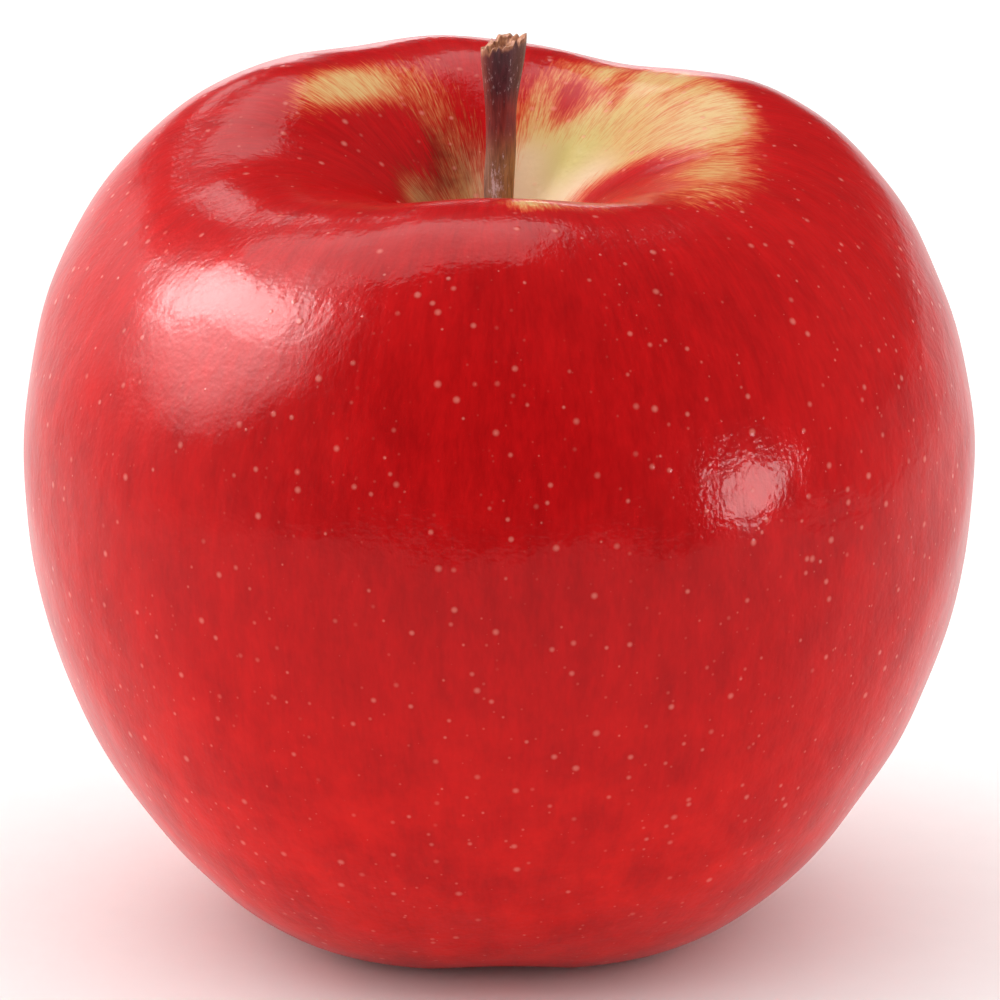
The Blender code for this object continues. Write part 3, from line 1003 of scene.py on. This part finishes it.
@dataclass
class Stalk:
    """The woody stalk, from its foot in the socket to its torn hollow tip."""

    foot_radius: float = 1.05 * MM
    neck_radius: float = 1.32 * MM
    tip_radius: float = 1.9 * MM
    socket_depth: float = 4.0 * MM
    lean: float = 0.8 * MM
    break_slope: float = math.tan(math.radians(15))
    hollow: float = 1.1 * MM
    ragged: float = 0.28 * MM
    ridge_height: float = 0.035
    knot_height: float = 0.03
    waves: int = 14
    scuffed_azimuth: float = math.radians(-105)
    lit_azimuth: float = math.radians(-10)
    sides: int = 112
    rings_outside: int = 130
    rings_inside: int = 26
    splinters: int = 26
    seed: int = 5

    def wobble(self, angle: np.ndarray, way: np.ndarray, turns: int, draw: Any) -> np.ndarray:
        """A seeded sum of waves round and along the stalk, between about -1 and 1.

        Args:
            angle: azimuths.
            way: shares along the stalk.
            turns: most waves in a turn.
            draw: the seeded source of random numbers.

        Returns:
            The wobble at each place.
        """
        total = np.zeros_like(angle)
        for _ in range(self.waves):
            count = draw.integers(1, turns + 1)
            total += np.cos(
                count * angle + draw.uniform(-22, 22) * way + draw.uniform(0, TURN)
            )
        return total / math.sqrt(self.waves)

    def surface(self) -> Skin:
        """Carries a ring up the outside, over the torn rim and down into the hollow.

        The radius widens slowly to the neck and flares to the tip; the tip's plane slopes
        up towards +X and its rim is ragged.

        Returns:
            The closed skin.
        """
        low, high = (np.array(corner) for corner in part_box("stem"))
        foot = low[2]
        slope_rise = self.break_slope * self.tip_radius
        length = high[2] - slope_rise - foot
        draw = np.random.default_rng(self.seed)
        outside = np.linspace(0.0, 1.0, self.rings_outside)
        inside = np.linspace(0.0, 1.0, self.rings_inside + 1)[1:]
        shares = np.concatenate((outside, np.ones(self.rings_inside)))
        share, angle = np.meshgrid(shares, circle(self.sides), indexing="ij")
        inner = np.concatenate((np.zeros(self.rings_outside), inside))[:, None]
        neck = self.foot_radius + (self.neck_radius - self.foot_radius) * share
        flare = (self.tip_radius - self.neck_radius) * smooth_step(share, 0.76, 1.0)
        above = smooth_step(share * length, self.socket_depth, self.socket_depth + 1 * MM)
        radius = np.where(share * length > self.socket_depth, neck + flare, self.foot_radius)
        ridges = self.wobble(angle, 0.25 * share, 7, draw)
        knots = self.wobble(angle, 1.3 * share, 4, draw)
        bumps = self.ridge_height * ridges + self.knot_height * knots
        radius = radius * (1 + above * bumps)
        rim = self.wobble(angle, 0 * share, 22, draw) * self.ragged
        rim = rim + self.wobble(angle, 0 * share, 5, draw) * 0.6 * self.ragged
        bowl = self.wobble(angle, 3 * inner + 0 * share, 12, draw)
        narrowing = 1 - 0.30 * smooth_step(inner, 0.0, 0.18) - 0.68 * smooth_step(inner, 0.2, 1.0)
        radius = radius * narrowing
        sink = self.hollow * smooth_step(inner, 0.05, 0.7) * (1 + 0.25 * bowl)
        centre = self.lean * smooth_step(share, self.socket_depth / length, 1.6)
        x = radius * np.cos(angle)
        y = radius * np.sin(angle)
        slope = self.break_slope * smooth_step(share, 0.5, 1.0)
        rim_share = smooth_step(share, 0.955, 1.0) * (1 - smooth_step(inner, 0.1, 0.6))
        z = foot + length * share + slope * x + rim * rim_share - sink
        torn = np.clip(smooth_step(inner, 0.0, 0.06) + 0 * share, 0, 1)
        turn = np.angle(np.exp(1j * (angle - self.scuffed_azimuth)))
        fuzz = 0.19 * np.exp(-((turn / 0.7) ** 2) - ((share - 0.53) / 0.09) ** 2)
        fuzz = fuzz + 0.06 * np.exp(-(((share - 0.88) / 0.05) ** 2)) - 0.03
        edge = smooth_step(share + 0.006 * ridges, 0.985, 0.997)
        return Skin(
            np.stack((x + centre, y, z), -1)[None],
            {
                "height": share[None],
                "torn": np.maximum(torn, 0.8 * edge)[None],
                "side": (0.5 + 0.5 * np.cos(angle - self.lit_azimuth))[None],
                "fuzz": fuzz[None],
            },
        )

    def fibres(self) -> Skin:
        """Torn fibres that stand in the rim: thin tapered tubes, seeded.

        Returns:
            The closed skins of all the fibres.
        """
        _, high = (np.array(corner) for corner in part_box("stem"))
        draw = np.random.default_rng(self.seed + 1)
        count, rings, sides = self.splinters, 6, 5
        angle = draw.uniform(0, TURN, count)
        away = self.tip_radius * draw.uniform(0.45, 0.93, count)
        length = draw.uniform(0.4, 0.75, count) * MM
        thick = draw.uniform(0.05, 0.11, count) * MM
        lean = draw.normal(0, 0.3, (count, 2))
        t = np.linspace(0, 1, rings)
        x = away * np.cos(angle)
        y = away * np.sin(angle)
        middle = high[2] - self.break_slope * self.tip_radius
        base = np.stack((x + 0.45 * MM, y, middle + self.break_slope * x - 0.55 * MM), -1)
        way = np.stack((lean[:, 0], lean[:, 1], np.ones(count)), -1)
        path = base[:, None] + way[:, None] * (length[:, None] * t)[..., None]
        around = circle(sides)
        ring = np.stack((np.cos(around), np.sin(around), 0 * around), -1)
        width = thick[:, None] * (1 - 0.75 * t**2)
        points = path[:, :, None] + width[..., None, None] * ring
        whole = np.ones(points.shape[:3])
        return Skin(points, {"height": whole, "torn": whole, "side": whole, "fuzz": 0 * whole})

    def build(self) -> None:
        """Makes the stalk's one piece."""
        add_piece(
            "apple_stalk", [self.surface(), self.fibres()], StalkBark().build(), ["stem"], Slot.STALK
        )


# --------------------------------------------------------------------------------------
# The dried flower
# --------------------------------------------------------------------------------------


@dataclass
class Calyx:
    """Five dried sepals round the mouth of the calyx tube, curled out at their tips."""

    count: int = 5
    thickness: float = 0.28 * MM
    width: float = 3.1 * MM
    curl: float = 0.9 * MM
    rings: int = 40
    sides: int = 36
    seed: int = 9

    def sepal(self, number: int) -> Skin:
        """One sepal: a thin pointed blade carried along a curved path.

        Its half width is width * (1 - t)^0.7 towards the tip, its section is a flat oval
        that is hollowed inwards, and it twists a little; all of it is turned to its place.

        Args:
            number: the sepal's number, from 0.

        Returns:
            The closed skin.
        """
        draw = np.random.default_rng(self.seed + number)
        low, high = (np.array(corner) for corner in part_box("sepal_1"))
        root_height, tip_height = high[2], low[2] + 0.5 * MM
        root_radius = high[0] - 0.35 * MM
        waist = 0.30 * (high[0] - low[0])
        shares = np.linspace(0.0, 1.0, self.rings)
        t, around = np.meshgrid(shares, circle(self.sides), indexing="ij")
        flare = draw.uniform(0.8, 1.9) * MM
        radius = root_radius - 3.2 * waist * smooth_step(t, 0.0, 0.6)
        radius = radius + flare * smooth_step(t, 0.45, 1.0) ** 1.5
        height = root_height - (root_height - tip_height) * (t - 0.12 * t**4)
        half = 0.5 * self.width * (1 - t) ** 0.7 * (0.62 + 0.6 * smooth_step(t, 0.0, 0.25))
        half = half + 0.10 * MM
        across = half * np.cos(around)
        ripple = 0.12 * MM * np.sin(9 * t + draw.uniform(0, TURN)) * np.cos(around)
        out = 0.5 * self.thickness * (1 - 0.5 * t) * np.sin(around)
        cup = -self.curl * (np.cos(around) ** 2) * (half / self.width) * 1.4
        twist = draw.uniform(-0.35, 0.35) * t
        radial = radius + (out + cup) * np.cos(twist) + across * np.sin(twist) + ripple
        side = across * np.cos(twist) - out * np.sin(twist)
        turn = TURN * number / self.count
        x = radial * math.cos(turn) - side * math.sin(turn)
        y = radial * math.sin(turn) + side * math.cos(turn)
        return Skin(np.stack((x, y, height), -1)[None], {"share": t[None]})

    def build(self) -> None:
        """Makes one piece for each sepal."""
        finish = DriedFlower("dried_sepal", "2E1B10", "8A6238", 0.5 * MM).build()
        for number in range(self.count):
            node = f"sepal_{number + 1}"
            add_piece(f"dried_{node}", [self.sepal(number)], finish, [node], Slot.FLOWER)


@dataclass
class FlowerTuft:
    """Dried stamens and styles that stand out of the calyx tube."""

    stamens: int = 20
    styles: int = 5
    stamen_radius: float = 0.085 * MM
    anther_radius: float = 0.24 * MM
    style_radius: float = 0.13 * MM
    stigma_radius: float = 0.16 * MM
    stamen_spread: float = 1.3 * MM
    style_spread: float = 0.45 * MM
    rings: int = 18
    sides: int = 8
    seed: int = 21

    def stems(self, style: bool) -> Skin:
        """Bent tubes from the tube's floor outwards, with a swelling at each free end.

        Args:
            style: True for the styles in the middle, False for the stamens round them.

        Returns:
            The closed skins.
        """
        low, high = (np.array(corner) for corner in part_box("flower_tuft"))
        draw = np.random.default_rng(self.seed + style)
        count = self.styles if style else self.stamens
        angle = (np.arange(count) + draw.uniform(-0.3, 0.3, count)) * TURN / count
        away = self.style_spread if style else self.stamen_spread
        away = away * draw.uniform(0.75, 1.1, count)
        length = (high[2] - low[2]) * draw.uniform(0.72, 1.0, count)
        t = np.linspace(0.0, 1.0, self.rings)
        spread = away[:, None] * (1 - 0.45 * t + 0.5 * t**3)
        swirl = angle[:, None] + draw.normal(0, 0.5, (count, 1)) * t**2
        drop = high[2] - length[:, None] * t
        path = np.stack((spread * np.cos(swirl), spread * np.sin(swirl), drop), -1)
        thin = self.style_radius if style else self.stamen_radius
        blob = (self.stigma_radius if style else self.anther_radius) - thin
        width = thin + blob * np.exp(-(((t - 0.93) / 0.07) ** 2))
        width = width * (1 - smooth_step(t, 0.97, 1.06))
        around = circle(self.sides)
        ring = np.stack((np.cos(around), np.sin(around), 0 * around), -1)
        points = path[:, :, None] + width[None, :, None, None] * ring
        share = np.broadcast_to(t[None, :, None], points.shape[:3])
        return Skin(points, {"share": share})

    def build(self) -> None:
        """Makes the tuft's one piece."""
        finish = DriedFlower("dried_stamens", "20120B", "6E4A2C", 0.35 * MM).build()
        add_piece(
            "dried_tuft", [self.stems(False), self.stems(True)], finish, ["flower_tuft"], Slot.FLOWER
        )


# --------------------------------------------------------------------------------------
# The studio
# --------------------------------------------------------------------------------------


@dataclass(frozen=True)
class Softbox:
    """A soft light that shows in the gloss, as a rounded window on the surroundings.

    Its outline is |u/a|^n + |v/b|^n = 1, where u and v are tangents across and up from its
    middle.

    Attributes:
        azimuth: direction of its middle from the fruit, in degrees.
        elevation: the same, above the horizon.
        half_width: from its middle to its side, in degrees.
        half_height: from its middle to its top, in degrees.
        radiance: brightness of its face, where white paper in the same light is 1.
        roll: turn about its direction, in degrees.
        edge: softness of its edge, as a share of its size.
        power: 2 for an oval, more for a rounded rectangle.
    """

    azimuth: float
    elevation: float
    half_width: float
    half_height: float
    radiance: float
    roll: float = 0.0
    edge: float = 0.1
    power: float = 4.0

    def shine(self, node: Adder, towards: Socket) -> Socket:
        """How bright the light shows in each direction.

        Args:
            node: adds a node to the world.
            towards: the direction.

        Returns:
            Its radiance there.
        """
        azimuth, elevation = math.radians(self.azimuth), math.radians(self.elevation)
        flat = math.cos(elevation)
        out = Vector((flat * math.cos(azimuth), flat * math.sin(azimuth), math.sin(elevation)))
        turned = Quaternion(out, math.radians(self.roll)) @ out.to_track_quat("Z", "Y")
        depth = node("VectorMath", {0: towards, 1: out}, 1, operation="DOT_PRODUCT")
        depth = node("Math", {0: depth, 1: 0.02}, operation="MAXIMUM")
        total: Socket | float = 0.0
        for axis, half in (((1, 0, 0), self.half_width), ((0, 1, 0), self.half_height)):
            side = turned @ Vector(axis) / math.tan(math.radians(half))
            way = node("VectorMath", {0: towards, 1: side}, 1, operation="DOT_PRODUCT")
            way = node("Math", {0: way, 1: depth}, operation="DIVIDE")
            way = node("Math", {0: way}, operation="ABSOLUTE")
            way = node("Math", {0: way, 1: self.power}, operation="POWER")
            total = node("Math", {0: way, 1: total}, operation="ADD")
        total = node("Math", {0: total, 1: 1 / self.power}, operation="POWER")
        fade = {"From Min": 1 + self.edge, "From Max": 1 - self.edge, "To Max": self.radiance}
        return node("MapRange", {"Value": total, **fade}, **SMOOTH)


@dataclass
class Studio:
    """Pale floor, soft lights and the camera.

    Attributes:
        softboxes: lights that only the gloss shows.
        low: brightness below the horizon, from the front right to the back left.
        high: brightness above the horizon, from right to left.
        horizon: how high it lies, from right to left: the upper edge of the white walls.
        blur: half of the horizon's softness.
        fill: light from the front and back, then from the sides, for the colour of things.
    """

    half_width: float = 0.26
    front: float = 0.50
    back: float = 0.60
    thickness: float = 0.012
    corner: float = 6.0
    target: tuple[float, float, float] = (0.00005, -0.00005, -0.00209)
    distance: float = 0.900
    elevation: float = 17.53
    lens: float = 384.16
    sensor: float = 36.0
    fill_side: float = 1.2
    fill_place: tuple[float, float, float] = (0.0, -0.31, 1.2)
    fill_radiance: float = 0.85
    softboxes: tuple[Softbox, ...] = (
        Softbox(160, 41, 20, 9, 24.0, 33, 0.38, 2.5),
        Softbox(175, 35, 21, 17, 17.0, 0, 1.0, 2.0),
        Softbox(108, 27, 6, 4, 3.4, 18, 0.3, 2.5),
        Softbox(112, 62, 23, 20, 4.2, -22, 0.06),
        Softbox(93, 3.2, 8, 1.4, 6.0, 0, 0.5),
        Softbox(-29, 2, 9.5, 7.5, 24.0, -25, 0.08, 6.0),
    )
    low: tuple[tuple[float, float], ...] = (
        (0.24, 0.05), (0.36, 0.22), (0.50, 0.55), (0.63, 0.70), (0.80, 1.0), (0.95, 1.5),
    )
    high: tuple[tuple[float, float], ...] = ((0.72, 0.02), (0.86, 0.5))
    horizon: tuple[tuple[float, float], ...] = (
        (0.20, 0.02), (0.50, 0.03), (0.61, 0.10), (0.75, 0.34), (0.88, 0.55),
    )
    blur: float = 0.05
    fill: tuple[float, float] = (0.35, 2.5)

    def floor(self) -> None:
        """A board with rounded corners and edges.

        Its outline is a superellipse, |x/a|^n + |y/b|^n = 1, and its rings run from the
        middle of its top over the edge to the middle of its underside.
        """
        angle, power = circle(128), 2 / self.corner
        half_length = (self.front + self.back) / 2
        across = self.half_width * np.sign(np.cos(angle)) * np.abs(np.cos(angle)) ** power
        along = half_length * np.sign(np.sin(angle)) * np.abs(np.sin(angle)) ** power
        bend = np.linspace(0.0, math.pi, 13)
        top, under = np.linspace(0.02, 0.97, 20), np.linspace(0.97, 0.02, 6)
        spread = np.concatenate((top, 0.99 + 0.01 * np.sin(bend), under))
        edge = 0.5 * self.thickness * (1 - np.cos(bend))
        drop = np.concatenate((0 * top, edge, 0 * under + self.thickness))
        middle = np.array((0.0, (self.back - self.front) / 2))
        flat = spread[:, None, None] * np.stack((across, along), -1) + middle
        height = np.broadcast_to(-drop[:, None, None], flat.shape[:2] + (1,))
        points = np.concatenate((flat, height), -1)
        add_piece("floor_board", [Skin(points[None])], MattBoard().build())

    def surroundings(self) -> None:
        """White behind and at the sides, dark behind the camera, as the gloss shows.

        The camera itself sees plain white past the floor. All other rays meet the fill.
        """
        world = bpy.data.worlds.new("studio")
        world.use_nodes = True
        bpy.context.scene.world = world
        tree = world.node_tree
        tree.nodes.clear()
        node = partial(add_node, tree)
        towards = node("TexCoord", output="Generated")
        x, y, _ = node("SeparateXYZ", {0: towards}).node.outputs
        mirrored = node("Background", {"Color": self.seen(node, towards), "Strength": 1.0})
        sides = node("Math", {0: x, 1: x}, operation="MULTIPLY")
        for axis, share in ((x, -0.12), (y, 0.4)):
            sides = node("Math", {0: axis, 1: share, 2: sides}, operation="MULTIPLY_ADD")
        least, most = self.fill
        ends = {"From Min": -0.3, "From Max": 1.2, "To Min": least, "To Max": most}
        fill = node("MapRange", {"Value": sides, **ends})
        soft = node("Background", {"Color": fill, "Strength": 1.0})
        plain = node("Background", {"Color": "FFFFFF", "Strength": 1.0})
        glossy = node("LightPath", output="Is Glossy Ray")
        straight = node("LightPath", output="Is Camera Ray")
        lit = node("MixShader", {0: glossy, 1: soft, 2: mirrored})
        shown = node("MixShader", {0: straight, 1: lit, 2: plain})
        tree.links.new(shown, tree.nodes.new("ShaderNodeOutputWorld").inputs[0])

    def seen(self, node: Adder, towards: Socket) -> Socket:
        """What the gloss shows: low and high walls that meet at the horizon, and lights.

        Args:
            node: adds a node to the world.
            towards: the direction.

        Returns:
            The brightness in each direction.
        """
        x, y, z = node("SeparateXYZ", {0: towards}).node.outputs
        level = node("Math", {0: x, 1: -0.42}, operation="MULTIPLY")
        level = node("Math", {0: y, 1: 0.9, 2: level}, operation="MULTIPLY_ADD")
        level = node("MapRange", {"Value": level, "From Min": -1.0, "From Max": 1.0})
        leftward = node("MapRange", {"Value": x, "From Min": 1.0, "From Max": -1.0})
        low = node("ValToRGB", {0: level}, stops=self.low)
        high = node("ValToRGB", {0: leftward}, stops=self.high)
        horizon = node("ValToRGB", {0: leftward}, stops=self.horizon)
        rise = node("Math", {0: z, 1: horizon}, operation="SUBTRACT")
        rise = {"Value": rise, "From Min": -self.blur, "From Max": self.blur}
        rise = node("MapRange", rise, **SMOOTH)
        seen = node("Mix", {MIX_FACTOR: rise, MIX_A: low, MIX_B: high}, **BLEND)
        for softbox in self.softboxes:
            shine = softbox.shine(node, towards)
            seen = node("Mix", {MIX_FACTOR: 1.0, MIX_A: seen, MIX_B: shine}, **LIGHTEN)
        return seen

    def sky_fill(self) -> None:
        """A wide light high over the front that fills without showing in the gloss."""
        light = bpy.data.lights.new("sky_fill", "AREA")
        light.size = self.fill_side
        light.energy = self.fill_radiance * math.pi * self.fill_side**2
        made = bpy.data.objects.new("sky_fill", light)
        bpy.context.collection.objects.link(made)
        towards = Vector(self.fill_place)
        made.location = towards
        made.rotation_mode = "QUATERNION"
        made.rotation_quaternion = towards.to_track_quat("Z", "Y")
        made.visible_camera = False
        made.visible_glossy = False

    def camera(self) -> None:
        """A long lens that looks down at the fruit from the front."""
        low, high = CAD_BOX
        target = (low + high) / 2 + Vector(self.target)
        tilt = math.radians(self.elevation)
        data = bpy.data.cameras.new("camera")
        data.lens = self.lens
        data.sensor_width = self.sensor
        data.clip_start, data.clip_end = 0.05, 10.0
        made = bpy.data.objects.new("camera", data)
        bpy.context.collection.objects.link(made)
        back = Vector((0.0, -math.cos(tilt), math.sin(tilt)))
        made.location = target + back * self.distance
        made.rotation_euler = (math.pi / 2 - tilt, 0.0, 0.0)
        bpy.context.scene.camera = made

    def build(self) -> None:
        """Sets the stage."""
        self.floor()
        self.surroundings()
        self.sky_fill()
        self.camera()
        bpy.context.scene.view_settings.view_transform = "Standard"


def main() -> None:
    """Builds the fruit and its small pieces, then the studio round them."""
    logging.basicConfig(level=logging.INFO, format="%(name)s: %(message)s")
    for maker in (Fruit(), Stalk(), Calyx(), FlowerTuft(), Studio()):
        maker.build()


if __name__ == "__main__":
    main()
